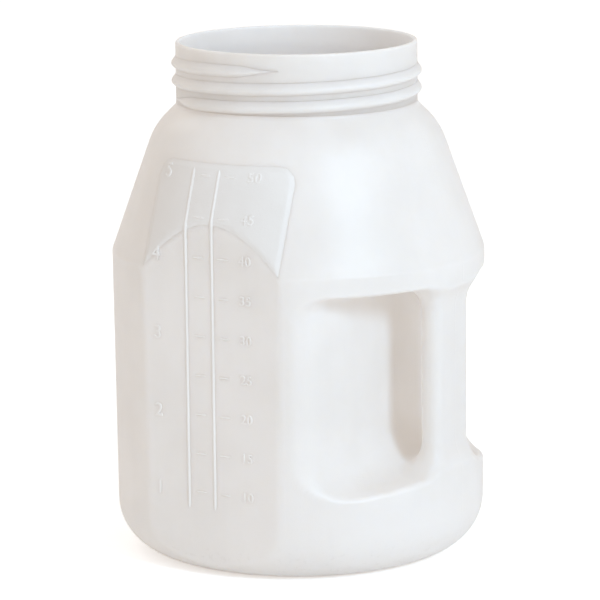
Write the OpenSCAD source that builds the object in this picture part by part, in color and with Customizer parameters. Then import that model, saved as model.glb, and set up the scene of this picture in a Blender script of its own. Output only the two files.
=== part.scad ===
// Five-litre feeding bottle body: a blow-moulded wide-mouth jug with a through hand grip.
// The whole object is one hollow moulding. Its zones are separate solids that meet face to face.
// Millimetres, +Z up, origin at the centre of the standing plane.
// The grip points along +X and the reading scale faces -Y.

/* [Body] */
// Height from the standing plane to the lip
total_h = 261; // [255:1:280]
// Radius of the body just under the shoulder edge
body_r = 95; // [90:0.5:100]
// Radius of the body just above the rounded foot
foot_r = 94; // [90:0.2:94.6]
// Rounding between wall and base
foot_round = 25.5; // [18:0.5:26]
// Wall thickness of the moulding
wall = 2.4; // [1.6:0.2:2.8]
// Height of the shoulder edge, where the wall turns into the cone
shoulder_z = 155; // [153:1:157]
// Rounding of the shoulder edge
shoulder_round = 4; // [3:0.2:6]

/* [Cone and neck] */
// Slope of the cone, in millimetres of radius per millimetre of height
cone_slope = 0.357; // [0.34:0.001:0.37]
// Rounding where the cone turns in towards the neck
crown_round = 36; // [32:1:42]
// Outer radius of the plain neck wall
neck_r = 61.2; // [61:0.1:62.2]
// Radius of the mouth
mouth_r = 58.8; // [57.6:0.1:59]
// Height of the neck wall above the cone
neck_h = 32; // [31:0.5:36]

/* [Thread] */
// How far the thread ridge stands out from the neck wall
thread_depth = 2.4; // [1.4:0.1:2.6]
// Rise of the thread in one turn
thread_pitch = 9; // [8:0.5:10]
// Number of turns
thread_turns = 2.2; // [1.5:0.1:2.4]

/* [Hand grip] */
// Height of the lower rim of the hand recess
recess_lo = 41; // [39:1:46]
// Height of the upper rim of the hand recess
recess_hi = 145; // [138:1:146]
// Rise of the ledge from the rim to the middle
ledge_rise = 11; // [6:1:14]
// X at which the recess wall leaves the round body
recess_x = 48.5; // [47:0.5:50]
// How far the recess wall bulges out on the middle plane
recess_bulge = 7.5; // [5:0.5:9]
// Half the width of the grip bar
bar_half = 17; // [14:0.5:18]
// X of the inner side of the grip bar
bar_x = 78; // [77:0.5:79]
// X of the outer side of the grip bar
bar_out = 90.5; // [89.5:0.5:91.5]
// Rounding of the grip bar's edges
bar_round = 6; // [5:0.2:6]
// Rounding of the recess's lower corner on the outside
recess_round = 20; // [12:1:22]
// Rounding of the recess's upper corner on the outside
lip_round = 7; // [4:0.5:9]

/* [Scale] */
// Distance of the flat scale panels from the middle plane
flat_y = 86.3; // [85.7:0.1:88]
// Half the width of the raised field on the cone
field_half = 39; // [34:0.5:40]
// How far the field stands out from the cone
field_rise = 1.2; // [0.8:0.1:1.6]
// Height of the top of the raised field
field_top = 208; // [204:0.5:210]
// How far ribs, ticks and numerals stand out
relief = 0.7; // [0.5:0.1:1]
// Height of the first litre mark
litre_z = 43.6; // [40:0.2:46]
// Height of one litre on the scale
litre_step = 39.6; // [38:0.1:40]

/* [Hidden] */
$fn = 96;

hdpe = [0.92, 0.92, 0.90];
hdpe_base = [0.86, 0.86, 0.84];
hdpe_recess = [0.88, 0.89, 0.92];
hdpe_grip = [0.80, 0.84, 0.88];
hdpe_neck = [0.88, 0.85, 0.80];
hdpe_relief = [0.74, 0.76, 0.78];

neck_z = total_h - neck_h;            // where the neck wall leaves the cone
push_up = 5;                          // height of the hollow under the base
ring_r = [58, 67];                    // inner slope of the standing ring
far = 120;                            // past every side of the body
disc_r = 56;                          // edge of the level disc under the bottle
panel_half = 41;                      // half the width of the flat panels
bar_z = [recess_lo + ledge_rise + 1, recess_hi - 1.5];

// Heights at which one zone of the wall ends and the next begins.
ring_z = 10;                          // standing ring to heel
heel_z = 25;                          // heel to foot band
ledge_z = [recess_lo - wall - 1.6, recess_lo + ledge_rise + 10];
lip_z = [recess_hi - 9, recess_hi + wall + 1.6];
cone_end = 204.5;                     // cone to crown
litres = 5;
rib_x = [-14, 1];                     // centre lines of the two ribs
rib_w = 1.6;
rib_z = [35, field_top - 3];
tick_x = 7.5;                         // centre of the ticks
tick_l = 6;
stroke = 0.9;                         // width of a numeral's stroke
litre_x = -31;                        // centre of the litre numerals
part_x = 20;                          // centre of the decilitre numerals

function unit(v) = v / norm(v);
function left_of(v) = [-v[1], v[0]];

// Points of the corner at b, between a and c, rounded to radius r.
function corner(a, b, c, r) =
    let (u = unit(a - b), v = unit(c - b), turn = 180 - acos(u * v), t = r * tan(turn / 2),
         centre = b + unit(u + v) * r / cos(turn / 2), n = max(1, ceil(turn / 12)),
         from = b + u * t - centre, side = sign(u[0] * v[1] - u[1] * v[0]))
    [for (i = [0:n]) let (s = -side * turn * i / n)
        centre + [from[0] * cos(s) - from[1] * sin(s), from[0] * sin(s) + from[1] * cos(s)]];

// An open line through [x, y, rounding] points, each corner rounded.
function rounded(p) =
    let (q = [for (k = p) [k[0], k[1]]], last = len(p) - 1)
    [for (i = [0:last]) each (i == 0 || i == last || p[i][2] == 0)
        ? [q[i]] : corner(q[i - 1], q[i], q[i + 1], p[i][2])];

// The same line moved by g to its left, with mitred corners.
function moved(p, g) =
    let (last = len(p) - 1)
    [for (i = [0:last])
        let (a = left_of(unit(p[max(i, 1)] - p[max(i, 1) - 1])),
             b = left_of(unit(p[min(i, last - 1) + 1] - p[min(i, last - 1)])))
        p[i] + (a + b) * g / (1 + a * b)];

// Half outline of the body from the axis under the base to the top, for a neck wall at root_r.
function outline(root_r) =
    let (crown_r = root_crossing(), crown_z = shoulder_z + (body_r - crown_r) / cone_slope)
    rounded([[0, push_up, 0], [ring_r[0], push_up, 4], [ring_r[1], 0, 3.4],
             [foot_r, 0, foot_round], [body_r, shoulder_z, shoulder_round],
             [crown_r, crown_z, crown_round], [root_r, crown_z + crown_r - root_r, 0],
             [root_r, total_h + 5, 0]]);

// Radius at which the cone meets the 45 degree slope that ends at the neck wall.
function root_crossing() =
    let (edge = shoulder_z + body_r / cone_slope, slope_sum = neck_z + neck_r)
    (edge - slope_sum) / (1 / cone_slope - 1);

// The body turned round the axis, grown inwards by g.
module turned(g) {
    line = g == 0 ? outline(neck_r) : moved(outline(g > 0 ? mouth_r + wall : neck_r), g);
    top = total_h + 5;
    rotate_extrude() polygon(concat(line, [[0, top]]));
}

// Everything between the two flat scale panels, which stop under the neck.
module between_flats(g) {
    translate([-far, -(flat_y - g), -1]) cube([2 * far, 2 * (flat_y - g), total_h + 10]);
}

// Section of the grip bar, smaller by g.
module bar_section(g) {
    r = bar_round - g;
    x = [bar_x + g, bar_out - g];
    y = bar_half - g;
    translate([x[0], -y + r]) square([x[1] - x[0], 2 * (y - r)]);
    translate([x[0] + r, -y]) square([x[1] - x[0] - 2 * r, 2 * y]);
    for (cx = [x[0] + r, x[1] - r], cy = [-y + r, y - r]) translate([cx, cy]) circle(r);
}

// Plan of the hand recess: all that lies outside its bowed wall.
module recess_plan(g) {
    steps = 8;
    reach = far;
    bow = [for (i = [-steps:steps])
        let (y = i / steps * flat_y) [recess_x + recess_bulge * (1 - pow(y / flat_y, 2)) - g, y]];
    polygon(concat([[recess_x - g, -reach]], bow, [[recess_x - g, reach], [far, reach], [far, -reach]]));
}

// Side view of the hand recess: a ledge that rises to the middle under a level lip.
module recess_side(g) {
    lo = recess_lo - g;
    polygon([[-far, lo - ledge_rise * (far / flat_y - 1)], [-far, recess_hi + g],
             [far, recess_hi + g], [far, lo - ledge_rise * (far / flat_y - 1)],
             [8, lo + ledge_rise * (1 - 8 / flat_y)], [-8, lo + ledge_rise * (1 - 8 / flat_y)]]);
}

// Front view of the hand recess, which rounds the two corners by its wall.
module recess_front(g) {
    x = recess_x - g;
    polygon(rounded([[far, recess_lo - g, 0], [x, recess_lo - g, recess_round + g],
                     [x, recess_hi + g, lip_round + g], [far, recess_hi + g, 0]]));
}

// The hand recess on both sides of the grip bar, grown by g.
module recess_cutter(g) {
    difference() {
        intersection() {
            linear_extrude(total_h) recess_plan(g);
            rotate([90, 0, 90]) linear_extrude(far) recess_side(g);
            rotate([90, 0, 0]) linear_extrude(2 * far, center = true) recess_front(g);
        }
        translate([0, 0, 10]) linear_extrude(total_h) bar_section(g);
    }
}

// A solid of the bottle's form, grown inwards by g.
module form(g) {
    difference() {
        intersection() {
            turned(g);
            between_flats(g);
        }
        recess_cutter(g);
    }
}

// The wall of the bottle between two heights.
module shell(lo, hi) {
    intersection() {
        difference() {
            form(0);
            form(wall);
        }
        translate([-far, -far, lo]) cube([2 * far, 2 * far, hi - lo]);
    }
}

// All that lies between two values of x.
module between_x(lo, hi) {
    translate([lo, -far, -2]) cube([hi - lo, 2 * far, total_h]);
}

module grip_space() {
    translate([bar_x - 5, -bar_half - 4, bar_z[0]])
        cube([far, 2 * bar_half + 8, bar_z[1] - bar_z[0]]);
}

// The wall on the grip's side between two heights, without the grip bar.
module grip_side(lo, hi) {
    difference() {
        intersection() {
            shell(lo, hi);
            between_x(panel_half, far);
        }
        grip_space();
    }
}

// One of the two flat panels: side is -1 for the scale, 1 for the plain one.
module flat_panel(side) {
    intersection() {
        shell(ledge_z[0], lip_z[1]);
        between_x(-panel_half, panel_half);
        translate([-far, side < 0 ? -far : 0, 0]) cube([2 * far, far, total_h]);
    }
}

module base_disc() {
    color(hdpe_base) intersection() {
        shell(-1, ring_z);
        cylinder(h = ring_z, r = disc_r);
    }
}

module standing_ring() {
    color(hdpe_base) difference() {
        shell(-1, ring_z);
        translate([0, 0, -1]) cylinder(h = ring_z + 2, r = disc_r);
    }
}

module heel() {
    color(hdpe_base) shell(ring_z, heel_z);
}

module foot_band() {
    color(hdpe_base) shell(heel_z, ledge_z[0]);
}

module scale_panel() {
    color(hdpe) flat_panel(-1);
}

module plain_panel() {
    color(hdpe) flat_panel(1);
}

module side_wall() {
    color(hdpe) intersection() {
        shell(ledge_z[0], lip_z[1]);
        between_x(-far, -panel_half);
    }
}

module grip_ledge() {
    color(hdpe_recess) grip_side(ledge_z[0], ledge_z[1]);
}

module recess_wall() {
    color(hdpe_recess) grip_side(ledge_z[1], lip_z[0]);
}

module grip_lip() {
    color(hdpe_recess) grip_side(lip_z[0], lip_z[1]);
}

module hand_grip() {
    color(hdpe_grip) intersection() {
        shell(heel_z, shoulder_z);
        grip_space();
    }
}

module shoulder_edge() {
    color(hdpe) shell(lip_z[1], shoulder_z);
}

module shoulder_cone() {
    color(hdpe) shell(shoulder_z, cone_end);
}

module crown() {
    color(hdpe) shell(cone_end, neck_z);
}

module neck_finish() {
    edge = 0.9;
    color(hdpe_neck) translate([0, 0, neck_z]) difference() {
        union() {
            cylinder(h = neck_h - edge, r = neck_r);
            translate([0, 0, neck_h - edge]) cylinder(h = edge, r1 = neck_r, r2 = neck_r - edge);
        }
        translate([0, 0, -1]) cylinder(h = neck_h + 2, r = mouth_r);
    }
}

// One ridge that climbs round the neck, thinned at both ends.
module neck_thread() {
    steps = round(thread_turns * 40);
    half = thread_pitch * 0.36;
    start = neck_z + half + 0.6;
    side = [[0, -1], [0.8, -0.55], [1, 0], [0.8, 0.55], [0, 1]];
    points = [for (i = [0:steps])
        let (a = 360 * thread_turns * i / steps, grow = min(1, 0.15 + min(i, steps - i) / 4),
             z = start + thread_pitch * thread_turns * i / steps)
        for (s = side) let (r = neck_r + s[0] * thread_depth * grow)
            [r * cos(a - 140), r * sin(a - 140), z + s[1] * half * grow]];
    n = len(side);
    walls = [for (i = [0:steps - 1], k = [0:n - 1])
        let (a = i * n + k, b = i * n + (k + 1) % n) [a, a + n, b + n, b]];
    color(hdpe_neck) polyhedron(points,
        concat(walls, [[for (k = [0:n - 1]) k], [for (k = [n - 1:-1:0]) steps * n + k]]), convexity = 6);
}

// Elevation of the raised field: square below, rounded at its two upper corners.
module field_shape() {
    r = 9;
    translate([-field_half, shoulder_z + 1]) square([2 * field_half, field_top - r - shoulder_z - 1]);
    translate([r - field_half, shoulder_z + 1]) square([2 * (field_half - r), field_top - shoulder_z - 1]);
    for (x = [r - field_half, field_half - r]) translate([x, field_top - r]) circle(r);
}

// Sends a flat drawing (x, z) towards -Y as a block in front of the middle plane.
module drawn_forward() {
    translate([0, -40, 0]) rotate([90, 0, 0]) linear_extrude(60) children();
}

module scale_field() {
    color(hdpe_relief) intersection() {
        drawn_forward() field_shape();
        difference() {
            intersection() { turned(-field_rise); between_flats(0); }
            turned(0);
        }
    }
}

// A drawing raised on the flat panel and on the field above it.
module raised() {
    intersection() {
        drawn_forward() children();
        difference() {
            intersection() { turned(-field_rise - relief); between_flats(-relief); }
            intersection() { turned(-field_rise); between_flats(0); }
        }
    }
}

module scale_ribs() {
    color(hdpe_relief) raised() for (x = rib_x)
        translate([x - rib_w / 2, rib_z[0]]) square([rib_w, rib_z[1] - rib_z[0]]);
}

module scale_ticks() {
    color(hdpe_relief) raised() for (i = [1:2 * litres], x = [tick_x, 0.5 * (rib_x[0] + rib_x[1])])
        translate([x - tick_l / 2, litre_z + (i / 2 - 1) * litre_step - stroke / 2])
            if (litre_z + (i / 2 - 1) * litre_step > rib_z[0]) square([tick_l, stroke]);
}

// Strokes of a numeral: top, upper right, lower right, bottom, lower left, upper left, middle.
module numeral(d, h) {
    strokes = ["1111110", "0110000", "1101101", "1111001", "0110011",
               "1011011", "1011111", "1110000", "1111111", "1111011"][d];
    w = h * 0.55;
    bars = [[0, h - stroke, w, stroke], [w - stroke, h / 2, stroke, h / 2],
            [w - stroke, 0, stroke, h / 2], [0, 0, w, stroke], [0, 0, stroke, h / 2],
            [0, h / 2, stroke, h / 2], [0, (h - stroke) / 2, w, stroke]];
    translate([-w / 2, -h / 2]) for (k = [0:6]) if (strokes[k] == "1")
        translate([bars[k][0], bars[k][1]]) square([bars[k][2], bars[k][3]]);
}

module scale_numerals() {
    color(hdpe_relief) raised() for (i = [1:litres]) {
        z = litre_z + (i - 1) * litre_step;
        translate([litre_x, z]) numeral(i, 7);
        for (half = [0, 1]) translate([part_x, z + half * litre_step / 2]) {
            tenths = 10 * i + 5 * half;
            if (tenths <= 10 * litres) {
                translate([-2.2, 0]) numeral(floor(tenths / 10), 5);
                translate([2.2, 0]) numeral(tenths % 10, 5);
            }
        }
    }
}

base_disc();
standing_ring();
heel();
foot_band();
scale_panel();
plain_panel();
side_wall();
grip_ledge();
recess_wall();
grip_lip();
hand_grip();
shoulder_edge();
shoulder_cone();
crown();
neck_finish();
neck_thread();
scale_field();
scale_ribs();
scale_ticks();
scale_numerals();
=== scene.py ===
import math
import bmesh
import bpy
import numpy as np
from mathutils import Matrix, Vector


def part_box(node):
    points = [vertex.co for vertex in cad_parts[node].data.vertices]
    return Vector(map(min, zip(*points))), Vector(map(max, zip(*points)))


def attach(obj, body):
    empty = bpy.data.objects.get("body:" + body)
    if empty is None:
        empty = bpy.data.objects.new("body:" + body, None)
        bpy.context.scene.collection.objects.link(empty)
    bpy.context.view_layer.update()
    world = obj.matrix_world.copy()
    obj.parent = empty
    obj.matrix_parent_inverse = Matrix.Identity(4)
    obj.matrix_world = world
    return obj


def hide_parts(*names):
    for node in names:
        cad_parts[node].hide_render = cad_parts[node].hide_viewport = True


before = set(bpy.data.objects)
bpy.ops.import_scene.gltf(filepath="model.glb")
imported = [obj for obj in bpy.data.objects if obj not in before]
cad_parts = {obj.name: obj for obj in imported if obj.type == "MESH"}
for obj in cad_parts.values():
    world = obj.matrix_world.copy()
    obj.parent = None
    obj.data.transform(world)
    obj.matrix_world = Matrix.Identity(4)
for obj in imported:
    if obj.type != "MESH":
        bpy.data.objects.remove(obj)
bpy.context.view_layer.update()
scene = bpy.context.scene
mm = 0.001


# Lowest and highest corners of a CAD node, in millimetres.
def cornersOf(node):
    return [np.array(corner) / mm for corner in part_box(node)]


# Driving sizes, read off the frame.
neckLow, neckHigh = cornersOf("neck_finish")
gripLow, gripHigh = cornersOf("hand_grip")
coneLow = cornersOf("shoulder_cone")[0]
edgeHigh = cornersOf("shoulder_edge")[1]
threadHigh = cornersOf("neck_thread")[1]
fieldHigh = cornersOf("scale_field")[1]

bottle = {
    "bodyR": edgeHigh[0],        # radius under the shoulder edge
    "footR": 94.0,               # radius just above the foot
    "footRound": 25.5,
    "pushUp": 5.0,               # hollow under the base
    "ring": (58.0, 67.0),        # inner slope of the standing ring
    "shoulderZ": coneLow[2],
    "shoulderRound": 4.0,
    "coneSlope": 0.357,          # radius lost per height on the cone
    "crownRound": 36.0,
    "neckR": neckHigh[0],
    "neckZ": neckLow[2],
    "rootRound": 2.4,            # small hollow where the crown meets the neck
    "topZ": neckHigh[2],
    "flatY": edgeHigh[1],        # flat scale panels
    "panelSoft": 1.1,            # softness of the panels' upright edges
    "wall": 2.4,
}

grip = {
    "lo": 41.0, "hi": 145.0,     # lower and upper rim of the hand recess
    "ledgeRise": 11.0,
    "wallX": 48.5, "bulge": 7.5,
    "barX": gripLow[0],
    "barOut": gripHigh[0],
    "barHalf": gripHigh[1],
    "barRound": 6.0,
    "dishRound": 20.0,           # hollow between the recess wall and the ledge
    "lipHollow": 9.0,            # hollow between the recess wall and the lip
    "barFlare": 14.0,            # hollow at both ends of the bar
    "rimRound": 2.2,             # crisp rims above and below
    "sideRound": 5.0,            # soft edge beside the flat panel
    "rimFade": (22.0, 9.0),      # heights over which the lower and upper rims turn soft
    "sideFade": (60.0, 14.0),    # where the side's edge starts to turn into the bar's, and how far it takes
    "middleSoft": 8.0,           # rounds the ledge and the recess wall off at the middle
}


# Open line through (x, y, rounding) points with true arcs at its corners.
def roundedLine(points, degreesPerStep=3.0):
    out = []
    for i, (x, y, r) in enumerate(points):
        b = np.array([x, y], float)
        if i in (0, len(points) - 1) or r == 0:
            out.append(b)
            continue
        u = np.array(points[i - 1][:2], float) - b
        v = np.array(points[i + 1][:2], float) - b
        u, v = u / np.linalg.norm(u), v / np.linalg.norm(v)
        turn = math.pi - math.acos(float(u @ v))
        centre = b + (u + v) / np.linalg.norm(u + v) * r / math.cos(turn / 2)
        start = b + u * r * math.tan(turn / 2) - centre
        side = -math.copysign(1, u[0] * v[1] - u[1] * v[0])
        steps = max(2, math.ceil(math.degrees(turn) / degreesPerStep))
        for k in range(steps + 1):
            a = side * turn * k / steps
            out.append(centre + [start[0] * math.cos(a) - start[1] * math.sin(a),
                                 start[0] * math.sin(a) + start[1] * math.cos(a)])
    return np.array(out)


# Half section of the bottle's outside, from the axis under the base up the neck.
def bodyOutline():
    b = bottle
    crownR = ((b["shoulderZ"] + b["bodyR"] / b["coneSlope"] - b["neckZ"] - b["neckR"])
              / (1 / b["coneSlope"] - 1))
    crownZ = b["shoulderZ"] + (b["bodyR"] - crownR) / b["coneSlope"]
    return roundedLine([
        (0, b["pushUp"], 0), (b["ring"][0], b["pushUp"], 4), (b["ring"][1], 0, 3.4),
        (b["footR"], 0, b["footRound"]), (b["bodyR"], b["shoulderZ"], b["shoulderRound"]),
        (crownR, crownZ, b["crownRound"]), (b["neckR"], crownZ + crownR - b["neckR"], b["rootRound"]),
        (b["neckR"], b["topZ"] + 40, 0)])


# Signed distance to the half section on a fine lattice of radius and height.
def outlineField(line, step=0.25, reach=(112.0, 300.0), under=-14.0):
    rs = np.arange(0.0, reach[0], step)
    zs = np.arange(under, reach[1], step)
    r, z = np.meshgrid(rs, zs, indexing="ij")
    best = np.full(r.shape, 1e9)
    inside = np.zeros(r.shape, bool)
    closed = np.vstack([line, [[0.0, line[-1][1]]]])
    for (ax, ay), (bx, by) in zip(closed, np.roll(closed, -1, axis=0)):
        dx, dy = bx - ax, by - ay
        if dx or dy:
            t = np.clip(((r - ax) * dx + (z - ay) * dy) / (dx * dx + dy * dy), 0, 1)
            if not (ax == 0 and bx == 0):
                best = np.minimum(best, (r - ax - t * dx) ** 2 + (z - ay - t * dy) ** 2)
            if ay != by:
                crosses = (z < max(ay, by)) & (z >= min(ay, by)) & (r < ax + (z - ay) * dx / dy)
                inside ^= crosses
    return np.sqrt(best) * np.where(inside, -1, 1), step, under


outlineLattice, latticeStep, latticeUnder = outlineField(bodyOutline())


# Distance to the turned form, read between the lattice's points.
def turnedField(r, z):
    a = np.clip(r / latticeStep, 0, outlineLattice.shape[0] - 1.001)
    b = np.clip((z - latticeUnder) / latticeStep, 0, outlineLattice.shape[1] - 1.001)
    i, j = a.astype(int), b.astype(int)
    u, v = a - i, b - j
    g = outlineLattice
    return ((g[i, j] * (1 - u) + g[i + 1, j] * u) * (1 - v)
            + (g[i, j + 1] * (1 - u) + g[i + 1, j + 1] * u) * v)


def softMax(a, b, soft):
    h = np.maximum(soft - np.abs(a - b), 0) / soft
    return np.maximum(a, b) + h * h * soft / 4


# What lies in both, with a round edge of radius r where they meet square.
def roundMax(a, b, r):
    return np.minimum(-r, np.maximum(a, b)) + np.hypot(np.maximum(a + r, 0), np.maximum(b + r, 0))


# Distance to the bottle's outside in millimetres, negative in the plastic and the hollow.
def bottleField(p):
    x, y, z = p[..., 0], p[..., 1], p[..., 2]
    body = softMax(turnedField(np.hypot(x, y), z), np.abs(y) - bottle["flatY"], bottle["panelSoft"])
    share = np.sqrt(y * y + grip["middleSoft"] ** 2) / bottle["flatY"]
    wall = grip["wallX"] + grip["bulge"] * (1 - np.minimum(share, 1.1) ** 2) - x
    ledge = grip["lo"] + grip["ledgeRise"] * (1 - share) - z
    hollow = roundMax(wall, ledge, grip["dishRound"])
    hollow = roundMax(hollow, z - grip["hi"], grip["lipHollow"])
    bar = roundMax(np.maximum(grip["barX"] - x, x - grip["barOut"]), np.abs(y) - grip["barHalf"],
                   grip["barRound"])
    hollow = roundMax(hollow, -bar, grip["barFlare"])
    fadeLow, fadeHigh = grip["rimFade"]
    mid = np.clip((z - grip["lo"]) / fadeLow, 0, 1) * np.clip((grip["hi"] + 1 - z) / fadeHigh, 0, 1)
    mid = mid * mid * (3 - 2 * mid)
    startX, reachX = grip["sideFade"]
    toBar = np.clip((x - startX) / reachX, 0, 1)
    side = grip["sideRound"] + (grip["barRound"] - grip["sideRound"]) * toBar
    return roundMax(body, -hollow, grip["rimRound"] + (side - grip["rimRound"]) * mid)


def slopeOf(field, p, h=0.15):
    g = np.empty_like(p)
    for k in range(3):
        d = np.zeros(3)
        d[k] = h
        g[..., k] = (field(p + d) - field(p - d)) / (2 * h)
    return g


# Moves points straight on to the surface where field equals level.
def settle(field, p, level, rounds=4):
    for _ in range(rounds):
        g = slopeOf(field, p)
        far = np.clip(field(p) - level, -1.5, 1.5)
        p = p - g * (far / np.maximum((g * g).sum(-1), 0.2))[..., None]
    return p


# Lines between (place, gap) stops, the gap changing evenly from stop to stop.
def spaced(stops):
    out = [stops[0][0]]
    for (a, ga), (b, gb) in zip(stops, stops[1:]):
        n = max(1, round((b - a) / ((ga + gb) / 2)))
        w = np.linspace(ga, gb, n)
        out += list(a + np.cumsum(w) * (b - a) / w.sum())
    return np.array(out)


# Quads over the surface, one point in each cell of a round lattice that it passes.
def wrapSurface(field, level, turns, heights, radii):
    nt, nz, nr = len(turns), len(heights), len(radii)
    t, z, r = np.meshgrid(turns, heights, radii, indexing="ij")
    f = np.empty(t.shape)
    for i in range(0, nt, 20):          # in slices, to keep memory small
        c = slice(i, i + 20)
        f[c] = field(np.stack([r[c] * np.cos(t[c]), r[c] * np.sin(t[c]), z[c]], -1)) - level
    f = np.concatenate([f, f[:1]])
    turnsOn = np.append(turns, turns[0] + 2 * math.pi)
    s = f < 0
    shape = (nt, nz - 1, nr - 1)
    total, place = np.zeros(shape), np.zeros(shape + (3,))
    axes = (turnsOn, heights, radii)
    for axis in range(3):
        others = [k for k in range(3) if k != axis]
        lo = [slice(None)] * 3
        hi = [slice(None)] * 3
        lo[axis], hi[axis] = slice(0, -1), slice(1, None)
        cross = s[tuple(lo)] != s[tuple(hi)]
        a, b = f[tuple(lo)], f[tuple(hi)]
        w = np.where(cross, a / np.where(cross, a - b, 1), 0)
        for da in (0, 1):
            for db in (0, 1):
                cut = [slice(None)] * 3
                for k, d in zip(others, (da, db)):
                    n = (nt, nz - 1, nr - 1)[k]
                    cut[k] = slice(d, d + n)
                c = cross[tuple(cut)]
                total += c
                index = np.indices(shape)
                for k in range(3):
                    if k == axis:
                        lowLine = axes[k][index[k]]
                        place[..., k] += c * (lowLine + w[tuple(cut)] * (axes[k][index[k] + 1] - lowLine))
                    else:
                        d = (da, db)[others.index(k)]
                        place[..., k] += c * axes[k][index[k] + d]
    used = total > 0
    number = np.full(shape, -1)
    number[used] = np.arange(used.sum())
    at = place[used] / total[used][:, None]
    points = np.stack([at[:, 2] * np.cos(at[:, 0]), at[:, 2] * np.sin(at[:, 0]), at[:, 1]], -1)
    quads = []
    for axis in range(3):
        lo = [slice(None)] * 3
        hi = [slice(None)] * 3
        lo[axis], hi[axis] = slice(0, -1), slice(1, None)
        sa, sb = s[tuple(lo)], s[tuple(hi)]
        i, j, k = np.nonzero(sa != sb)
        outward = sa[i, j, k]           # the plastic is on the low side of the crossing
        o1, o2 = [(1, 2), (2, 0), (0, 1)][axis]
        corners = []
        good = np.ones(len(i), bool)
        for d1, d2 in ((0, 0), (-1, 0), (-1, -1), (0, -1)):
            c = [i.copy(), j.copy(), k.copy()]
            c[o1] = c[o1] + d1
            c[o2] = c[o2] + d2
            c[0] = c[0] % nt
            for q, n in ((1, nz - 1), (2, nr - 1)):
                good &= (c[q] >= 0) & (c[q] < n)
            corners.append(c)
        if axis != 0:
            good &= i < nt
        got = np.stack([number[np.clip(c[0], 0, nt - 1), np.clip(c[1], 0, nz - 2),
                               np.clip(c[2], 0, nr - 2)] for c in corners], -1)
        got[~outward] = got[~outward][:, ::-1]
        quads.append(got[good & (got >= 0).all(-1)])
    return points, np.concatenate(quads)


# The bottle's shell: its outside and inside as two skins joined by a ring under the neck.
shellMesh = {
    "turnGap": 1.6,              # degrees between upright lines, on plain stretches
    "innerDepth": bottle["wall"],
    "seamZ": bottle["neckZ"] + bottle["rootRound"] * 0.55,
    "relax": 2,
    "gripSpread": 27.0,          # degrees each way of the bar that get finer lines
    "panelEdges": (63.5, 115.5),
}


# Angles round the bottle, closer together at the grip and at the panels' edges.
def uprightLines(gap, fine):
    a = np.linspace(0, 2 * math.pi, 2881)[:-1]
    d = np.degrees(np.abs((a + math.pi) % (2 * math.pi) - math.pi))
    near, beyond = shellMesh["panelEdges"]
    density = 1 / gap + fine * (1 / (1 + (d / shellMesh["gripSpread"]) ** 8) * 0.55
                                + 0.45 * np.exp(-((d - near) / 5) ** 2)
                                + 0.3 * np.exp(-((d - beyond) / 4) ** 2))
    total = np.cumsum(density) * (360 / 2880)
    n = round(total[-1])
    return np.interp((np.arange(n) + 0.5) * total[-1] / n, total, a)


# One skin of the shell, from the base to the seam, as points and outward quads.
def skinOf(level, turns, heights, radii):
    points, quads = wrapSurface(bottleField, level, turns, heights, radii)
    points = settle(bottleField, points, level)
    for _ in range(shellMesh["relax"]):
        total, count = np.zeros_like(points), np.zeros(len(points))
        for k in range(4):
            np.add.at(total, quads[:, k], points[quads[:, (k + 1) % 4]])
            np.add.at(total, quads[:, k], points[quads[:, (k + 3) % 4]])
            np.add.at(count, quads[:, k], 2)
        moved = points + 0.5 * (total / np.maximum(count, 1)[:, None] - points)
        points = settle(bottleField, moved, level, 2)
    return points, quads


# A mesh cut level at the seam, with the small gap at the middle of the base filled.
def closedSkin(points, quads, name):
    mesh = bpy.data.meshes.new(name)
    mesh.from_pydata(points.tolist(), [], quads.tolist())
    bm = bmesh.new()
    bm.from_mesh(mesh)
    bmesh.ops.remove_doubles(bm, verts=bm.verts, dist=0.01)
    bmesh.ops.bisect_plane(bm, geom=bm.verts[:] + bm.edges[:] + bm.faces[:], dist=0.02,
                           plane_co=(0, 0, shellMesh["seamZ"]), plane_no=(0, 0, 1), clear_outer=True)
    low = [e for e in bm.edges if e.is_boundary and e.verts[0].co.z < 40]
    ring = {v for e in low for v in e.verts}
    middle = bm.verts.new(sum((v.co for v in ring), Vector()) / len(ring))
    for e in low:
        a, b = e.verts
        if (a.co - middle.co).cross(b.co - middle.co).z > 0:
            a, b = b, a
        bm.faces.new((a, b, middle))
    bpy.data.meshes.remove(mesh)
    return bm


def makeShell():
    gap = shellMesh["turnGap"]
    heights = spaced([(-2.2, 1.2), (26, 1.5), (36, 1.9), (41, 1.2), (58, 1.5), (70, 2.6), (125, 2.6),
                      (138, 1.0), (158, 0.8), (164, 2.2), (200, 2.4), (214, 1.6), (226, 1.0), (233, 1.0)])
    radii = spaced([(0, 3.4), (50, 2.6), (55, 1.7), (98, 1.5), (101, 3)])
    outer = skinOf(0.0, uprightLines(gap, 0.45), heights, radii)
    innerHeights = spaced([(-1, 2.6), (40, 2.6), (56, 2.4), (130, 4.2), (144, 1.8), (160, 1.8), (200, 4),
                           (233, 2.2)])
    inner = skinOf(-shellMesh["innerDepth"], uprightLines(gap * 1.9, 0.2), innerHeights,
                   spaced([(0, 5), (50, 4), (56, 2.4), (98, 2.2)]))
    print("shell skins", len(outer[0]), len(inner[0]))
    bm = closedSkin(*outer, "outer")
    bmIn = closedSkin(*inner, "inner")
    bmesh.ops.reverse_faces(bmIn, faces=bmIn.faces[:])
    spare = bpy.data.meshes.new("spare")
    bmIn.to_mesh(spare)
    bmIn.free()
    bm.from_mesh(spare)
    bpy.data.meshes.remove(spare)
    rim = [e for e in bm.edges if e.is_boundary]
    bmesh.ops.bridge_loops(bm, edges=rim)
    return bm


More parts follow.
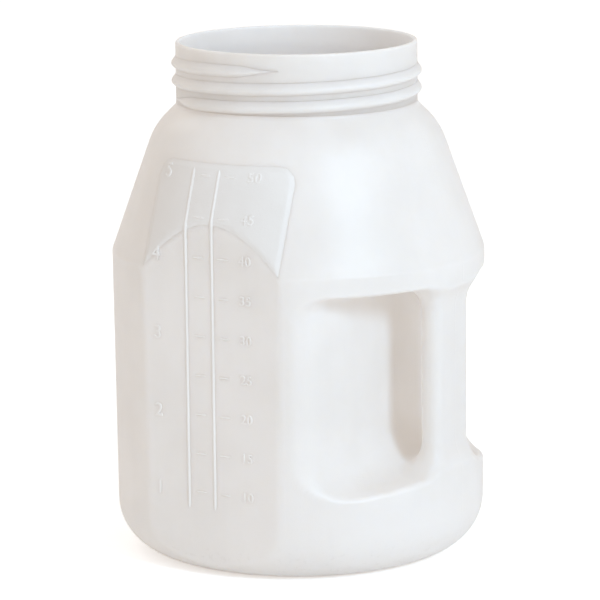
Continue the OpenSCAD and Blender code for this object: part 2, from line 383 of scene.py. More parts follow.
# Puts a finished mesh in the scene, on the bottle's one body, in place of its CAD nodes.
def finishPiece(mesh, name, material, nodes):
    piece = bpy.data.objects.new(name, mesh)
    scene.collection.objects.link(piece)
    mesh.name = name
    if material.name not in [m.name for m in mesh.materials if m]:
        mesh.materials.clear()
        mesh.materials.append(material)
    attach(piece, "root")
    if nodes:
        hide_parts(*nodes)
    print("piece", name, len(mesh.polygons), "faces")
    return piece


# Shades a skin by the true slope of its field, apart from the ring at the seam.
def smoothFrom(mesh, field, seamZ):
    co = np.empty(len(mesh.vertices) * 3)
    mesh.vertices.foreach_get("co", co)
    slope = slopeOf(field, co.reshape(-1, 3) / mm)
    slope /= np.linalg.norm(slope, axis=1)[:, None]
    normals = np.empty((len(mesh.loops), 3))
    for face in mesh.polygons:
        own = np.array(face.normal)
        for i in face.loop_indices:
            n = slope[mesh.loops[i].vertex_index]
            d = n @ own
            normals[i] = own if abs(d) < 0.3 else n * math.copysign(1, d)
    mesh.polygons.foreach_set("use_smooth", [True] * len(mesh.polygons))
    mesh.normals_split_custom_set(normals.tolist())


# A Blender mesh in metres from one in millimetres.
def toMesh(bm, name):
    bmesh.ops.scale(bm, vec=(mm, mm, mm), verts=bm.verts)
    mesh = bpy.data.meshes.new(name)
    bm.to_mesh(mesh)
    bm.free()
    return mesh


# The neck: a plain turned wall with a soft lip.
neck = {"mouthR": 58.8, "lipRound": 1.05, "steps": 288}


# A closed ring turned from a closed section of (radius, height) points.
def turnedRing(section, steps):
    bm = bmesh.new()
    rings = []
    for i in range(steps):
        a = 2 * math.pi * i / steps
        rings.append([bm.verts.new((r * math.cos(a), r * math.sin(a), z)) for r, z in section])
    for i, ring in enumerate(rings):
        after = rings[(i + 1) % steps]
        for k in range(len(section)):
            n = (k + 1) % len(section)
            bm.faces.new((ring[k], after[k], after[n], ring[n]))
    bmesh.ops.recalc_face_normals(bm, faces=bm.faces)
    return bm


def makeNeck():
    low, top = shellMesh["seamZ"], bottle["topZ"]
    section = roundedLine([
        (bottle["neckR"], low, 0), (bottle["neckR"], top, neck["lipRound"]),
        (neck["mouthR"], top, neck["lipRound"]), (neck["mouthR"], low, 0)], 15)
    return turnedRing(section, neck["steps"])


# An empty node tree with its named inputs and outputs.
def nodeGroup(name, kind, inputs, outputs):
    tree = bpy.data.node_groups.new(name, kind)
    for label, socket, value in inputs:
        s = tree.interface.new_socket(label, in_out="INPUT", socket_type=socket)
        if value is not None:
            s.default_value = value
    for label, socket in outputs:
        tree.interface.new_socket(label, in_out="OUTPUT", socket_type=socket)
    return tree, tree.nodes.new("NodeGroupInput"), tree.nodes.new("NodeGroupOutput")


def addNode(tree, kind, **values):
    node = tree.nodes.new(kind)
    for key, value in values.items():
        setattr(node, key, value)
    return node


# Ends a Geometry Nodes tree: what it made becomes real and takes the tree's own material.
def paintedEnd(tree, start, end, made):
    real = addNode(tree, "GeometryNodeRealizeInstances")
    paint = addNode(tree, "GeometryNodeSetMaterial")
    tree.links.new(made, real.inputs["Geometry"])
    tree.links.new(real.outputs["Geometry"], paint.inputs["Geometry"])
    tree.links.new(start.outputs["Material"], paint.inputs["Material"])
    tree.links.new(paint.outputs["Geometry"], end.inputs["Geometry"])
    return tree


# Sweeps a section, the modifier's own mesh, along a path and tapers both ends.
def sweepTree():
    tree, start, end = nodeGroup("sweepSection", "GeometryNodeTree", [
        ("Section", "NodeSocketGeometry", None), ("Path", "NodeSocketObject", None),
        ("Taper Length", "NodeSocketFloat", 0.01), ("End Size", "NodeSocketFloat", 0.1),
        ("Material", "NodeSocketMaterial", None)], [("Geometry", "NodeSocketGeometry")])
    link = tree.links.new
    path = addNode(tree, "GeometryNodeObjectInfo")
    upright = addNode(tree, "GeometryNodeSetCurveNormal", mode="Z_UP")
    outline = addNode(tree, "GeometryNodeMeshToCurve")
    along = addNode(tree, "GeometryNodeSplineParameter")
    whole = addNode(tree, "GeometryNodeSplineLength")
    left = addNode(tree, "ShaderNodeMath", operation="SUBTRACT")
    nearer = addNode(tree, "ShaderNodeMath", operation="MINIMUM")
    ease = addNode(tree, "ShaderNodeMapRange", interpolation_type="SMOOTHSTEP")
    swept = addNode(tree, "GeometryNodeCurveToMesh")
    link(start.outputs["Path"], path.inputs["Object"])
    link(path.outputs["Geometry"], upright.inputs["Curve"])
    link(start.outputs["Section"], outline.inputs["Mesh"])
    link(whole.outputs["Length"], left.inputs[0])
    link(along.outputs["Length"], left.inputs[1])
    link(left.outputs[0], nearer.inputs[0])
    link(along.outputs["Length"], nearer.inputs[1])
    link(nearer.outputs[0], ease.inputs["Value"])
    link(start.outputs["Taper Length"], ease.inputs["From Max"])
    link(start.outputs["End Size"], ease.inputs["To Min"])
    link(upright.outputs["Curve"], swept.inputs["Curve"])
    link(outline.outputs["Curve"], swept.inputs["Profile Curve"])
    link(ease.outputs["Result"], swept.inputs["Scale"])
    swept.inputs["Fill Caps"].default_value = True
    return paintedEnd(tree, start, end, swept.outputs["Mesh"])


def setInput(modifier, name, value):
    for item in modifier.node_group.interface.items_tree:
        if item.name == name and item.in_out == "INPUT":
            modifier[item.identifier] = value


# Runs a Geometry Nodes tree on a host mesh and returns what it makes as a plain mesh.
def madeByTree(tree, host, values, name):
    maker = bpy.data.objects.new(name + "Maker", host)
    scene.collection.objects.link(maker)
    modifier = maker.modifiers.new("make", "NODES")
    modifier.node_group = tree
    for key, value in values.items():
        setInput(modifier, key, value)
    bpy.context.view_layer.update()
    graph = bpy.context.evaluated_depsgraph_get()
    mesh = bpy.data.meshes.new_from_object(maker.evaluated_get(graph))
    maker.modifiers.clear()
    bpy.data.objects.remove(maker)
    return mesh


# A closed flat outline of (across, down) points, in metres.
def outlineMesh(points, name):
    mesh = bpy.data.meshes.new(name)
    n = len(points)
    mesh.from_pydata([(x * mm, y * mm, 0) for x, y in points], [(i, (i + 1) % n) for i in range(n)], [])
    return mesh


# An open path through points given in millimetres.
def pathObject(points, name):
    curve = bpy.data.curves.new(name, "CURVE")
    curve.dimensions = "3D"
    spline = curve.splines.new("POLY")
    spline.points.add(len(points) - 1)
    for p, c in zip(spline.points, points):
        p.co = (c[0] * mm, c[1] * mm, c[2] * mm, 1)
    path = bpy.data.objects.new(name, curve)
    scene.collection.objects.link(path)
    return path


def sweepAlong(tree, section, points, taper, endSize, material, name):
    path = pathObject(points, name + "Path")
    mesh = madeByTree(tree, outlineMesh(section, name), {
        "Path": path, "Taper Length": taper * mm, "End Size": endSize, "Material": material}, name)
    bpy.data.objects.remove(path)
    return mesh


# The screw ridge round the neck: broad and soft above, steeper below.
thread = {
    "pitch": 9.0, "turns": 2.2, "startTurn": -140.0,
    "depth": threadHigh[0] - neckHigh[0],
    "half": 3.24, "startZ": neckLow[2] + 3.84, "pointsPerTurn": 96,
    "taper": 26.0, "endSize": 0.1,
}


# Closed section, out from the neck wall and down, with a foot hidden in the wall.
def threadSection():
    out = [(-0.7, -thread["half"])]
    for k in range(17):
        s = -1 + 2 * k / 16                       # -1 above, 1 below
        lean = s + 0.22 * (1 - s * s)             # the crest sits a little low
        rise = (0.5 + 0.5 * math.cos(math.pi * max(-1, min(1, s)))) ** 0.62
        out.append((thread["depth"] * rise - 0.04, thread["half"] * lean))
    out.append((-0.7, thread["half"]))
    return out


def threadPath():
    steps = round(thread["turns"] * thread["pointsPerTurn"])
    out = []
    for i in range(steps + 1):
        turn = thread["turns"] * i / steps
        a = math.radians(thread["startTurn"] + 360 * turn)
        out.append((bottle["neckR"] * math.cos(a), bottle["neckR"] * math.sin(a),
                    thread["startZ"] + thread["pitch"] * turn))
    return out


# The raised scale, drawn flat as (across, up the bottle, out of the surface) and then laid on.
scale = {
    "fieldHalf": fieldHigh[0], "fieldTop": fieldHigh[2], "fieldRise": 0.6, "fieldCorner": 9.0,
    "fieldSoft": 3.0,
    "relief": 0.42, "sunk": 0.45,
    "ribX": (-14.0, 1.0), "ribWide": 1.9, "ribLow": 35.0, "ribHigh": fieldHigh[2] - 3,
    "litreZ": 43.6, "litreStep": 39.6, "litres": 5,
    "tickLong": 6.0, "tickWide": 0.95, "tickX": (7.5, -6.5), "edgeSoft": 0.14,
    "litreX": -31.0, "litreSize": 9.6, "partX": 20.0, "partSize": 6.6,
}


# Distance to the field's outline, negative inside, square at its lower end.
def roundedBox(x, z, half, low, high, corner):
    cx, cz = np.abs(x) - (half - corner), z - (high - corner)
    top = np.hypot(np.maximum(cx, 0), np.maximum(cz, 0)) + np.minimum(np.maximum(cx, cz), 0) - corner
    return np.maximum(top, low - z)


# Point and outward slope of the body's outside in front of each (x, z).
def skinPoint(x, z):
    p = np.stack([x, np.full_like(x, -112.0), z], -1)
    for _ in range(60):
        p[..., 1] += np.maximum(bottleField(p), -0.5) * 0.98
    n = slopeOf(bottleField, p, 0.3)
    return p, n / np.linalg.norm(n, axis=-1)[..., None]


# The same on top of the raised field, which the flat panel cuts off level.
def fieldTopPoint(x, z):
    p, n = skinPoint(x, z)
    far = roundedBox(x, z, scale["fieldHalf"], bottle["shoulderZ"] + 1, scale["fieldTop"],
                     scale["fieldCorner"])
    ease = np.clip(-far / scale["fieldSoft"], 0, 1)
    p = p + n * (scale["fieldRise"] * ease * ease * (3 - 2 * ease))[..., None]
    flat = p[..., 1] < -bottle["flatY"]
    p[..., 1] = np.maximum(p[..., 1], -bottle["flatY"])
    n[flat] = (0, -1, 0)
    return p, n


# Turns a mesh's faces outward, with corners nearer than merge, in metres, made one.
def facedOutward(mesh, merge=0.0):
    bm = bmesh.new()
    bm.from_mesh(mesh)
    if merge:
        bmesh.ops.remove_doubles(bm, verts=bm.verts, dist=merge)
    bmesh.ops.recalc_face_normals(bm, faces=bm.faces)
    bm.to_mesh(mesh)
    bm.free()
    return mesh


# Wraps a flat drawn mesh, in metres, on to the scale side of the bottle.
def layOn(mesh):
    co = np.empty(len(mesh.vertices) * 3)
    mesh.vertices.foreach_get("co", co)
    flat = co.reshape(-1, 3) / mm
    p, n = fieldTopPoint(flat[:, 0], flat[:, 1])
    mesh.vertices.foreach_set("co", ((p + n * flat[:, 2:]) * mm).ravel())
    return facedOutward(mesh, 1e-6)


# The raised field as a closed patch: a fine top over a sunk underside.
def makeField():
    s = scale
    edge = [0, 0.2, 0.5, 0.8, 1.2, 1.6, 2.1]
    half, low, high = s["fieldHalf"], bottle["shoulderZ"] + 1.0, s["fieldTop"]
    inner = np.linspace(-half + s["fieldCorner"], half - s["fieldCorner"], 47)
    side = np.linspace(2.6, s["fieldCorner"], 14)[:-1]
    xs = np.array([-half + d for d in edge] + [-half + d for d in side] + list(inner)
                  + [half - d for d in side[::-1]] + [half - d for d in edge[::-1]])
    top = np.linspace(s["fieldCorner"], 2.6, 14)[1:]
    zs = np.array(list(np.linspace(low, high - s["fieldCorner"], 36)) + [high - d for d in top]
                  + [high - d for d in edge[::-1]])
    x, z = np.meshgrid(xs, zs, indexing="ij")
    far = roundedBox(x, z, half, low - 4, high, s["fieldCorner"])
    p, n = skinPoint(x, z)
    ease = np.clip(-far / s["fieldSoft"], 0, 1)
    rise = s["fieldRise"] * ease * ease * (3 - 2 * ease) - np.where(far > -0.01, 0.5, 0)
    upper = p + n * rise[..., None]
    upper[..., 1] = np.maximum(upper[..., 1], -bottle["flatY"] + 0.25)
    lower = p - n * 1.0
    lower[..., 1] = np.maximum(lower[..., 1], -bottle["flatY"] + 1.2)
    nx, nz = x.shape
    points = np.concatenate([upper.reshape(-1, 3), lower.reshape(-1, 3)])

    def at(i, k, under=0):
        return under * nx * nz + i * nz + k

    faces = []
    for i in range(nx - 1):
        for k in range(nz - 1):
            faces.append((at(i, k), at(i + 1, k), at(i + 1, k + 1), at(i, k + 1)))
            faces.append((at(i, k, 1), at(i, k + 1, 1), at(i + 1, k + 1, 1), at(i + 1, k, 1)))
    border = ([(i, 0) for i in range(nx)] + [(nx - 1, k) for k in range(1, nz)]
              + [(i, nz - 1) for i in range(nx - 2, -1, -1)] + [(0, k) for k in range(nz - 2, 0, -1)])
    for a, b in zip(border, border[1:] + border[:1]):
        faces.append((at(*a), at(*a, 1), at(*b, 1), at(*b)))
    mesh = bpy.data.meshes.new("field")
    mesh.from_pydata((points * mm).tolist(), [], faces)
    return facedOutward(mesh)


# Soft section of a rib, (across, down).
def ribSection(wide, high, sunk):
    out = [(-wide / 2, sunk)]
    for k in range(9):
        s = -1 + 2 * k / 8
        out.append((wide / 2 * s, -high * (0.5 + 0.5 * math.cos(math.pi * s))))
    return out + [(wide / 2, sunk)]


# Bars along a line of marks: Geometry Nodes instances, made real.
def tickTree():
    tree, start, end = nodeGroup("tickColumn", "GeometryNodeTree", [
        ("Bar", "NodeSocketGeometry", None), ("Count", "NodeSocketInt", 9),
        ("First", "NodeSocketVector", None), ("Step", "NodeSocketVector", None),
        ("Material", "NodeSocketMaterial", None)], [("Geometry", "NodeSocketGeometry")])
    link = tree.links.new
    marks = addNode(tree, "GeometryNodeMeshLine", mode="OFFSET")
    place = addNode(tree, "GeometryNodeInstanceOnPoints")
    link(start.outputs["Count"], marks.inputs["Count"])
    link(start.outputs["First"], marks.inputs["Start Location"])
    link(start.outputs["Step"], marks.inputs["Offset"])
    link(marks.outputs["Mesh"], place.inputs["Points"])
    link(start.outputs["Bar"], place.inputs["Instance"])
    return paintedEnd(tree, start, end, place.outputs["Instances"])


# One mesh out of several, with one material.
def joined(meshes, name, material):
    bm = bmesh.new()
    for mesh in meshes:
        bm.from_mesh(mesh)
        bpy.data.meshes.remove(mesh)
    whole = bpy.data.meshes.new(name)
    bm.to_mesh(whole)
    bm.free()
    whole.materials.append(material)
    return whole


def makeRibs(tree, material):
    s = scale
    ribs = []
    for x in s["ribX"]:
        n = 110
        path = [(x, s["ribLow"] + (s["ribHigh"] - s["ribLow"]) * i / n, 0) for i in range(n + 1)]
        ribs.append(sweepAlong(tree, ribSection(s["ribWide"], s["relief"], s["sunk"]), path, 1.6, 0.4,
                               material, "rib"))
    return layOn(joined(ribs, "ribs", material))


def makeTicks(sweep, column, material):
    s = scale
    path = [(s["tickLong"] * (i / 8 - 0.5), 0, 0) for i in range(9)]
    made = []
    for x in s["tickX"]:
        bar = sweepAlong(sweep, ribSection(s["tickWide"], s["relief"], s["sunk"]), path, 0.7, 0.5,
                         material, "bar")
        made.append(madeByTree(column, bar, {
            "Count": 2 * s["litres"] - 1, "First": (x * mm, s["litreZ"] * mm, 0.0),
            "Step": (0.0, s["litreStep"] / 2 * mm, 0.0), "Material": material}, "ticks"))
    return layOn(joined(made, "ticks", material))


# One column of raised numerals with soft edges, drawn flat.
def numeralColumn(labels, x, firstZ, step, size):
    made = []
    for i, label in enumerate(labels):
        text = bpy.data.curves.new("numeral", "FONT")
        text.body = label
        text.size = size * mm
        text.align_x = "CENTER"
        text.align_y = "CENTER"
        text.space_character = 1.08
        text.resolution_u = 5
        text.extrude = (scale["relief"] + scale["sunk"]) / 2 * mm - scale["edgeSoft"] * mm
        text.bevel_depth = scale["edgeSoft"] * mm
        text.bevel_resolution = 1
        text.offset = -0.05 * mm
        holder = bpy.data.objects.new("numeral", text)
        scene.collection.objects.link(holder)
        graph = bpy.context.evaluated_depsgraph_get()
        mesh = bpy.data.meshes.new_from_object(holder.evaluated_get(graph))
        bpy.data.objects.remove(holder)
        bpy.data.curves.remove(text)
        lift = (scale["relief"] - scale["sunk"]) / 2
        for v in mesh.vertices:
            v.co += Vector((x, firstZ + i * step, lift)) * mm
        made.append(mesh)
    return made


def makeNumerals(material):
    s = scale
    litres = [str(k) for k in range(1, s["litres"] + 1)]
    parts = [f"{k:02d}" for k in range(10, 10 * s["litres"] + 1, 5)]
    flat = (numeralColumn(litres, s["litreX"], s["litreZ"], s["litreStep"], s["litreSize"])
            + numeralColumn(parts, s["partX"], s["litreZ"], s["litreStep"] / 2, s["partSize"]))
    return layOn(joined(flat, "numerals", material))


# The pinched weld under the base; the parting line above it is a faint ridge in the moulded skin.
weld = {"half": 46.0, "wide": 1.5, "deep": 0.8, "taper": 4.0}


def makeWeld(tree, material):
    oval = [(weld["wide"] / 2 * math.cos(a), weld["deep"] * math.sin(a))
            for a in (2 * math.pi * k / 12 for k in range(12))]
    path = [(weld["half"] * (2 * k / 40 - 1), 0, bottle["pushUp"]) for k in range(41)]
    return sweepAlong(tree, oval, path, weld["taper"], 0.15, material, "weld")


# Finishes: milky natural polyethylene, with shared groups for tone, moulded skin, wear and a painted glow.
def mathNode(tree, operation, a, b, clamp=False):
    node = addNode(tree, "ShaderNodeMath", operation=operation, use_clamp=clamp)
    for socket, value in zip(node.inputs, (a, b)):
        if isinstance(value, (int, float)):
            socket.default_value = value
        else:
            tree.links.new(value, socket)
    return node.outputs[0]


def noiseNode(tree, vector, scaleValue, detail=3.0, rough=0.5, stretch=None):
    if stretch:
        mapping = addNode(tree, "ShaderNodeMapping")
        mapping.inputs["Scale"].default_value = stretch
        tree.links.new(vector, mapping.inputs["Vector"])
        vector = mapping.outputs[0]
    noise = addNode(tree, "ShaderNodeTexNoise")
    noise.inputs["Scale"].default_value = scaleValue
    noise.inputs["Detail"].default_value = detail
    noise.inputs["Roughness"].default_value = rough
    tree.links.new(vector, noise.inputs["Vector"])
    return noise.outputs[0]


def rangeNode(tree, value, lo, hi, outLo=0.0, outHi=1.0, smooth=True):
    node = addNode(tree, "ShaderNodeMapRange", interpolation_type="SMOOTHSTEP" if smooth else "LINEAR")
    tree.links.new(value, node.inputs["Value"])
    for label, v in (("From Min", lo), ("From Max", hi), ("To Min", outLo), ("To Max", outHi)):
        node.inputs[label].default_value = v
    return node.outputs["Result"]


def mixColors(tree, share, a, b):
    node = addNode(tree, "ShaderNodeMix", data_type="RGBA")
    sockets = [s for s in node.inputs if s.type == "RGBA"]
    for socket, value in zip(sockets, (a, b)):
        if isinstance(value, tuple):
            socket.default_value = value
        else:
            tree.links.new(value, socket)
    if isinstance(share, (int, float)):
        node.inputs["Factor"].default_value = share
    else:
        tree.links.new(share, node.inputs["Factor"])
    return [s for s in node.outputs if s.type == "RGBA"][0]


# Cloudy density of the plastic and a little grime towards the foot.
def toneGroup():
    tree, start, end = nodeGroup("cloudyTone", "ShaderNodeTree", [
        ("Vector", "NodeSocketVector", None), ("Clear", "NodeSocketColor", None),
        ("Dense", "NodeSocketColor", None), ("Cloud Scale", "NodeSocketFloat", 18.0),
        ("Grime", "NodeSocketFloat", 0.2)], [("Color", "NodeSocketColor")])
    vector = start.outputs["Vector"]
    big = addNode(tree, "ShaderNodeTexNoise")
    tree.links.new(vector, big.inputs["Vector"])
    tree.links.new(start.outputs["Cloud Scale"], big.inputs["Scale"])
    big.inputs["Detail"].default_value = 4
    streak = noiseNode(tree, vector, 60, 3, 0.55, (1, 1, 0.07))
    share = mathNode(tree, "ADD", mathNode(tree, "MULTIPLY", big.outputs[0], 0.8),
                     mathNode(tree, "MULTIPLY", streak, 0.2))
    tone = mixColors(tree, rangeNode(tree, share, 0.38, 0.62), start.outputs["Clear"], start.outputs["Dense"])
    split = addNode(tree, "ShaderNodeSeparateXYZ")
    tree.links.new(vector, split.inputs[0])
    low = rangeNode(tree, split.outputs["Z"], 0.0, 0.03, 1, 0)
    specks = rangeNode(tree, noiseNode(tree, vector, 420, 2, 0.6), 0.56, 0.74)
    dirt = mathNode(tree, "MULTIPLY", mathNode(tree, "MULTIPLY", low, specks), start.outputs["Grime"])
    tree.links.new(mixColors(tree, dirt, tone, (0.36, 0.33, 0.28, 1)), end.inputs["Color"])
    return tree


# Height of the moulded skin: fine grain, faint drawn streaks, slow ripples and the parting line.
def skinGroup():
    tree, start, end = nodeGroup("mouldedSkin", "ShaderNodeTree", [
        ("Vector", "NodeSocketVector", None), ("Grain", "NodeSocketFloat", 1.0),
        ("Streaks", "NodeSocketFloat", 1.0), ("Ripple", "NodeSocketFloat", 1.0)],
        [("Height", "NodeSocketFloat")])
    vector = start.outputs["Vector"]
    grain = mathNode(tree, "MULTIPLY", noiseNode(tree, vector, 1500, 2, 0.6), start.outputs["Grain"])
    streaks = mathNode(tree, "MULTIPLY", noiseNode(tree, vector, 130, 3, 0.5, (1, 1, 0.05)),
                       start.outputs["Streaks"])
    ripple = mathNode(tree, "MULTIPLY", noiseNode(tree, vector, 26, 1, 0.4), start.outputs["Ripple"])
    split = addNode(tree, "ShaderNodeSeparateXYZ")
    tree.links.new(vector, split.inputs[0])
    seam = rangeNode(tree, mathNode(tree, "ABSOLUTE", split.outputs["Y"], 0.0), 0.0, 0.0006, 0.9, 0.0)
    rough = mathNode(tree, "ADD", grain, streaks)
    slow = mathNode(tree, "ADD", ripple, seam)
    tree.links.new(mathNode(tree, "ADD", rough, slow), end.inputs["Height"])
    return tree


# Thin scuffs in two directions and rubbed patches, as a mask.
def wearGroup():
    tree, start, end = nodeGroup("handlingWear", "ShaderNodeTree", [
        ("Vector", "NodeSocketVector", None), ("Amount", "NodeSocketFloat", 1.0)],
        [("Mask", "NodeSocketFloat")])
    vector = start.outputs["Vector"]
    masks = []
    for turn, stretch in ((0.35, (1, 1, 14)), (1.25, (14, 14, 1))):
        mapping = addNode(tree, "ShaderNodeMapping")
        mapping.inputs["Rotation"].default_value = (turn, turn * 0.6, turn)
        tree.links.new(vector, mapping.inputs["Vector"])
        lines = noiseNode(tree, mapping.outputs[0], 55, 2, 0.5, stretch)
        masks.append(rangeNode(tree, lines, 0.66, 0.70))
    rubbed = rangeNode(tree, noiseNode(tree, vector, 30, 5, 0.7), 0.52, 0.7)
    mask = mathNode(tree, "MAXIMUM", masks[0], masks[1])
    mask = mathNode(tree, "ADD", mathNode(tree, "MULTIPLY", mask, rubbed),
                    mathNode(tree, "MULTIPLY", rubbed, 0.35), True)
    tree.links.new(mathNode(tree, "MULTIPLY", mask, start.outputs["Amount"]), end.inputs["Mask"])
    return tree


# Painted glow standing in for light through the wall, a little more on the inside of the mouth.
def throughGroup():
    tree, start, end = nodeGroup("paintedGlowThrough", "ShaderNodeTree", [
        ("Vector", "NodeSocketVector", None), ("Outside", "NodeSocketColor", None),
        ("Inside", "NodeSocketColor", None)], [("Color", "NodeSocketColor")])
    split = addNode(tree, "ShaderNodeSeparateXYZ")
    tree.links.new(start.outputs["Vector"], split.inputs[0])
    square = mathNode(tree, "ADD", mathNode(tree, "MULTIPLY", split.outputs["X"], split.outputs["X"]),
                      mathNode(tree, "MULTIPLY", split.outputs["Y"], split.outputs["Y"]))
    radius = mathNode(tree, "SQRT", square, 0.0)
    inside = rangeNode(tree, radius, (neck["mouthR"] + 0.5) * mm, (neck["mouthR"] + 1.4) * mm, 1, 0)
    tree.links.new(mixColors(tree, inside, start.outputs["Outside"], start.outputs["Inside"]),
                   end.inputs["Color"])
    return tree


tones, skins, wear, through = toneGroup(), skinGroup(), wearGroup(), throughGroup()

# glow is a painted glow, an even emission standing in for daylight through the wall that lifts the shade;
# inner is the stronger painted glow on the inside of the mouth
finishes = {
    "milkyShell": {"clear": (0.70, 0.697, 0.69, 1), "dense": (0.74, 0.739, 0.735, 1), "cloud": 16.0,
                   "grime": 0.12, "rough": 0.44, "grain": 0.5, "streaks": 0.5, "ripple": 5.0,
                   "bump": 0.00009, "wear": 0.6, "weight": 1.0, "deep": 0.005,
                   "glow": (0.125, 0.100, 0.080, 1), "inner": (0.125, 0.100, 0.080, 1)},
    # milkyNeck is a darker copy of the shell's plastic, painted shade on the neck; its inner colour is a
    # brighter, cooler painted glow on the inside of the mouth
    "milkyNeck": {"clear": (0.655, 0.652, 0.645, 1), "dense": (0.695, 0.693, 0.688, 1), "cloud": 22.0,
                  "grime": 0.0, "rough": 0.44, "grain": 0.35, "streaks": 0.4, "ripple": 3.0,
                  "bump": 0.00008, "wear": 0.6, "weight": 1.0, "deep": 0.005,
                  "glow": (0.125, 0.100, 0.080, 1), "inner": (0.145, 0.147, 0.158, 1)},
    # milkyRelief is a lighter copy of the plastic with a stronger glow: painted light that brightens the
    # raised ribs, ticks and numerals
    "milkyRelief": {"clear": (0.735, 0.732, 0.726, 1), "dense": (0.775, 0.773, 0.768, 1), "cloud": 20.0,
                    "grime": 0.0, "rough": 0.52, "grain": 1.3, "streaks": 0.0, "ripple": 0.0,
                    "bump": 0.00008, "wear": 0.3, "weight": 0.0, "deep": 0.005,
                    "glow": (0.135, 0.112, 0.093, 1), "inner": (0.135, 0.112, 0.093, 1)},
    "milkyScale": {"clear": (0.70, 0.697, 0.69, 1), "dense": (0.74, 0.739, 0.735, 1), "cloud": 20.0,
                   "grime": 0.0, "rough": 0.50, "grain": 1.3, "streaks": 0.3, "ripple": 2.0,
                   "bump": 0.00008, "wear": 0.3, "weight": 0.0, "deep": 0.005,
                   "glow": (0.125, 0.100, 0.080, 1), "inner": (0.125, 0.100, 0.080, 1)},
}


def milkyPlastic(name):
    f = finishes[name]
    material = bpy.data.materials.new(name)
    material.use_nodes = True
    tree = material.node_tree
    link = tree.links.new
    shader = tree.nodes["Principled BSDF"]
    place = addNode(tree, "ShaderNodeTexCoord").outputs["Object"]
    tone = addNode(tree, "ShaderNodeGroup", node_tree=tones)
    skin = addNode(tree, "ShaderNodeGroup", node_tree=skins)
    rub = addNode(tree, "ShaderNodeGroup", node_tree=wear)
    glow = addNode(tree, "ShaderNodeGroup", node_tree=through)
    for group in (tone, skin, rub, glow):
        link(place, group.inputs["Vector"])
    for group, label, key in ((tone, "Clear", "clear"), (tone, "Dense", "dense"),
                              (tone, "Cloud Scale", "cloud"), (tone, "Grime", "grime"),
                              (skin, "Grain", "grain"), (skin, "Streaks", "streaks"),
                              (skin, "Ripple", "ripple"), (rub, "Amount", "wear"),
                              (glow, "Outside", "glow"), (glow, "Inside", "inner")):
        group.inputs[label].default_value = f[key]
    # painted glow: emission that lifts the plastic's shade, stronger on the inside of the mouth
    link(glow.outputs["Color"], shader.inputs["Emission Color"])
    shader.inputs["Emission Strength"].default_value = 1.0
    link(tone.outputs["Color"], shader.inputs["Base Color"])
    rough = mathNode(tree, "ADD", mathNode(tree, "MULTIPLY", rub.outputs["Mask"], 0.16), f["rough"])
    link(rough, shader.inputs["Roughness"])
    bump = addNode(tree, "ShaderNodeBump")
    bump.inputs["Strength"].default_value = 1.0
    bump.inputs["Distance"].default_value = f["bump"]
    height = mathNode(tree, "SUBTRACT", skin.outputs["Height"],
                      mathNode(tree, "MULTIPLY", rub.outputs["Mask"], 0.5))
    link(height, bump.inputs["Height"])
    link(bump.outputs["Normal"], shader.inputs["Normal"])
    shader.inputs["IOR"].default_value = 1.5
    shader.inputs["Subsurface Weight"].default_value = f["weight"]
    shader.inputs["Subsurface Radius"].default_value = (1.0, 0.92, 0.82)
    shader.inputs["Subsurface Scale"].default_value = f["deep"]
    return material


# Camera: the viewing angle is round to the right of the scale side and a little above.
camera = {
    "azimuth": 30.4, "distance": 1.818, "height": 0.49, "aimHeight": 0.1265, "lens": 217.0, "roll": -0.61,
    "shift": (0.0016, 0.0),
}


def makeCamera():
    c = camera
    data = bpy.data.cameras.new("camera")
    data.lens = c["lens"]
    data.sensor_width = 36
    data.clip_start, data.clip_end = 0.05, 60
    data.shift_x, data.shift_y = c["shift"]
    eye = Vector((math.sin(math.radians(c["azimuth"])) * c["distance"],
                  -math.cos(math.radians(c["azimuth"])) * c["distance"], c["height"]))
    aim = Vector((0, 0, c["aimHeight"])) - eye
    turned = aim.to_track_quat("-Z", "Y").to_matrix()
    roll = math.radians(c["roll"])
    x, y = turned.col[0].copy(), turned.col[1].copy()
    turned.col[0] = x * math.cos(roll) + y * math.sin(roll)
    turned.col[1] = y * math.cos(roll) - x * math.sin(roll)
    holder = bpy.data.objects.new("camera", data)
    holder.matrix_world = turned.to_4x4()
    holder.location = eye
    scene.collection.objects.link(holder)
    scene.camera = holder


# Studio: a white floor and backdrop, a dim warm room, a soft cool light on the grip's side and two
# weak ones that give form to the scale and to the far side. Only the camera sees the floor glow.
studio = {
    "lightHeight": 0.12,
    "floorHalf": 12.0, "floorColor": (0.94, 0.94, 0.94, 1), "floorGlow": 0.42,
    "roomColor": (1.0, 0.955, 0.915, 1), "roomStrength": 0.67, "backdrop": (1.0, 1.0, 1.0, 1),
    "key": {"azimuth": 67.0, "elevation": 27.0, "distance": 2.2, "size": 0.58, "power": 21.5,
            "color": (0.60, 0.81, 1.0)},
    "fill": {"azimuth": 5.0, "elevation": 15.0, "distance": 2.4, "size": 1.2, "power": 1.0,
             "color": (1.0, 1.0, 1.0)},
    "back": {"azimuth": -112.0, "elevation": 40.0, "distance": 2.4, "size": 0.9, "power": 4.0,
             "color": (1.0, 0.97, 0.94)},
}


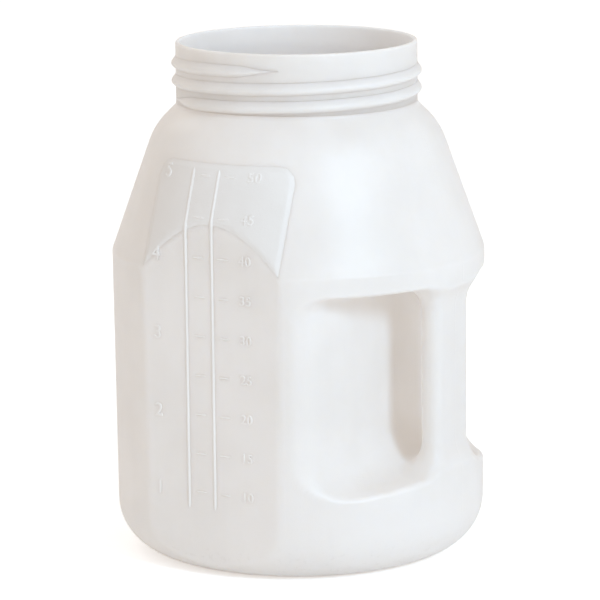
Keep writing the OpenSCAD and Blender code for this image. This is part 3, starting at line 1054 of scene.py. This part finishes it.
def makeFloor():
    s = studio
    mesh = bpy.data.meshes.new("floor")
    h = s["floorHalf"]
    mesh.from_pydata([(-h, -h, 0), (h, -h, 0), (h, h, 0), (-h, h, 0)], [], [(0, 1, 2, 3)])
    floor = bpy.data.objects.new("floor", mesh)
    scene.collection.objects.link(floor)
    paper = bpy.data.materials.new("paper")
    paper.use_nodes = True
    tree = paper.node_tree
    shader = tree.nodes["Principled BSDF"]
    place = addNode(tree, "ShaderNodeTexCoord").outputs["Object"]
    grain = rangeNode(tree, noiseNode(tree, place, 300, 2), 0.3, 0.7)
    color = mixColors(tree, grain, s["floorColor"], tuple(c * 0.985 for c in s["floorColor"][:3]) + (1,))
    tree.links.new(color, shader.inputs["Base Color"])
    shader.inputs["Roughness"].default_value = 0.9
    shader.inputs["Emission Color"].default_value = (1, 1, 1, 1)
    rays = addNode(tree, "ShaderNodeLightPath").outputs["Is Camera Ray"]
    tree.links.new(mathNode(tree, "MULTIPLY", rays, s["floorGlow"]), shader.inputs["Emission Strength"])
    mesh.materials.append(paper)


# Dim warm light from all round, behind a backdrop that only the camera sees.
def makeRoom():
    s = studio
    world = bpy.data.worlds.new("room")
    world.use_nodes = True
    room = world.node_tree
    light = room.nodes["Background"]
    light.inputs["Color"].default_value = s["roomColor"]
    light.inputs["Strength"].default_value = s["roomStrength"]
    seen = addNode(room, "ShaderNodeBackground")
    seen.inputs["Color"].default_value = s["backdrop"]
    both = addNode(room, "ShaderNodeMixShader")
    rays = addNode(room, "ShaderNodeLightPath")
    room.links.new(rays.outputs["Is Camera Ray"], both.inputs["Fac"])
    room.links.new(light.outputs[0], both.inputs[1])
    room.links.new(seen.outputs[0], both.inputs[2])
    room.links.new(both.outputs[0], room.nodes["World Output"].inputs["Surface"])
    scene.world = world


def makeLamps():
    for name in ("key", "fill", "back"):
        spec = studio[name]
        lamp = bpy.data.lights.new(name, "AREA")
        lamp.shape = "DISK"
        lamp.size = spec["size"]
        lamp.energy = spec["power"]
        lamp.color = spec["color"]
        holder = bpy.data.objects.new(name, lamp)
        around, up = math.radians(spec["azimuth"]), math.radians(spec["elevation"])
        away = Vector((math.sin(around) * math.cos(up), -math.cos(around) * math.cos(up), math.sin(up)))
        holder.location = Vector((0, 0, studio["lightHeight"])) + away * spec["distance"]
        holder.rotation_euler = away.to_track_quat("Z", "Y").to_euler()
        scene.collection.objects.link(holder)


makeCamera()
makeFloor()
makeRoom()
makeLamps()
scene.view_settings.view_transform = "Standard"
shellFinish = milkyPlastic("milkyShell")
neckFinish = milkyPlastic("milkyNeck")
scaleFinish = milkyPlastic("milkyScale")
reliefFinish = milkyPlastic("milkyRelief")
print("camera, studio and finishes made")

shell = toMesh(makeShell(), "bottleBody")
smoothFrom(shell, bottleField, shellMesh["seamZ"])
finishPiece(shell, "bottleBody", shellFinish,
            ("base_disc", "standing_ring", "heel", "foot_band", "scale_panel", "plain_panel", "side_wall",
             "grip_ledge", "recess_wall", "grip_lip", "hand_grip", "shoulder_edge", "shoulder_cone", "crown"))

neckMesh = toMesh(makeNeck(), "neckFinish")
neckMesh.polygons.foreach_set("use_smooth", [True] * len(neckMesh.polygons))
finishPiece(neckMesh, "neckFinish", neckFinish, ("neck_finish",))

sweep, column = sweepTree(), tickTree()
threadMesh = sweepAlong(sweep, threadSection(), threadPath(), thread["taper"], thread["endSize"],
                        neckFinish, "neckThread")
finishPiece(threadMesh, "neckThread", neckFinish, ("neck_thread",))

fieldMesh = makeField()
fieldMesh.polygons.foreach_set("use_smooth", [True] * len(fieldMesh.polygons))
finishPiece(fieldMesh, "scaleField", scaleFinish, ("scale_field",))
finishPiece(makeRibs(sweep, reliefFinish), "scaleRibs", reliefFinish, ("scale_ribs",))
finishPiece(makeTicks(sweep, column, reliefFinish), "scaleTicks", reliefFinish,
            ("scale_ticks",))
finishPiece(makeNumerals(reliefFinish), "scaleNumerals", reliefFinish, ("scale_numerals",))
finishPiece(makeWeld(sweep, shellFinish), "baseWeld", shellFinish, ())
